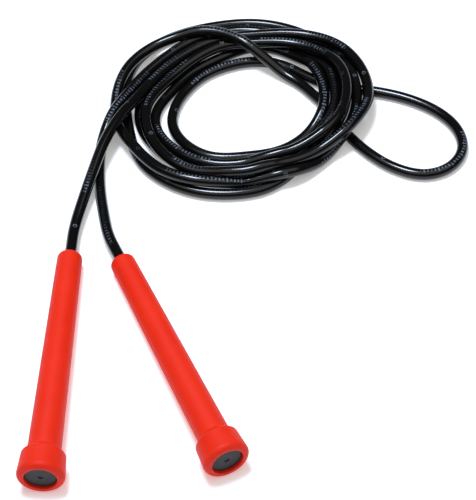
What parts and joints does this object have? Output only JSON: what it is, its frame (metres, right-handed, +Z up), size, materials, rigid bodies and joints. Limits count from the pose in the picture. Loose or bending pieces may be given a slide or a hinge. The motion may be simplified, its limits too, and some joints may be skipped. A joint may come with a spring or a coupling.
{
  "type": "jump rope",
  "caption": "Speed jump rope lying coiled: a round black cord, doubled and wound, with a stray loop, and red tapered handles that turn and float on the cord's ends.",
  "frame": {"origin": "on the floor, at the middle of the two handles' footprint", "axes": "+Z up, -Y towards the handles' butts, +Y towards the coil, +X towards the loop of cord that lies out to the side"},
  "size_m": [0.2328, 0.3059, 0.0228],
  "materials": {
    "handle_plastic": "moulded, satin",
    "cap_plastic": "moulded, satin",
    "cord_pvc": "extruded, glossy, with short printed dashes",
    "washer_nylon": "moulded",
    "sleeve_aluminium": "drawn and crimped"
  },
  "bodies": {
    "cord": {"cord_tail_left": "cord_pvc", "cord_tail_right": "cord_pvc", "cord_lead_left": "cord_pvc", "cord_lead_right": "cord_pvc", "cord_loop": "cord_pvc", "cord_coil": "cord_pvc", "cord_sleeve_left": "sleeve_aluminium", "cord_sleeve_right": "sleeve_aluminium"},
    "left_washer": {"thrust_washer_left": "washer_nylon"},
    "right_washer": {"thrust_washer_right": "washer_nylon"},
    "left_handle": {"handle_left": "handle_plastic", "end_cap_left": "cap_plastic"},
    "right_handle": {"handle_right": "handle_plastic", "end_cap_right": "cap_plastic"}
  },
  "joints": [
    {"name": "float_left", "type": "slide", "parent": "cord", "child": "left_washer", "axis": [-0.0749, -0.9965, 0.0383], "range_m": [0, 0.114]},
    {"name": "spin_left", "type": "hinge", "parent": "left_washer", "child": "left_handle", "pos_m": [-0.03213, 0.06799, 0.00632], "axis": [-0.0749, -0.9965, 0.0383], "continuous": true},
    {"name": "float_right", "type": "slide", "parent": "cord", "child": "right_washer", "axis": [0.3662, -0.9297, 0.0383], "range_m": [0, 0.114]},
    {"name": "spin_right", "type": "hinge", "parent": "right_washer", "child": "right_handle", "pos_m": [-0.00613, 0.06303, 0.00632], "axis": [0.3662, -0.9297, 0.0383], "continuous": true}
  ]
}
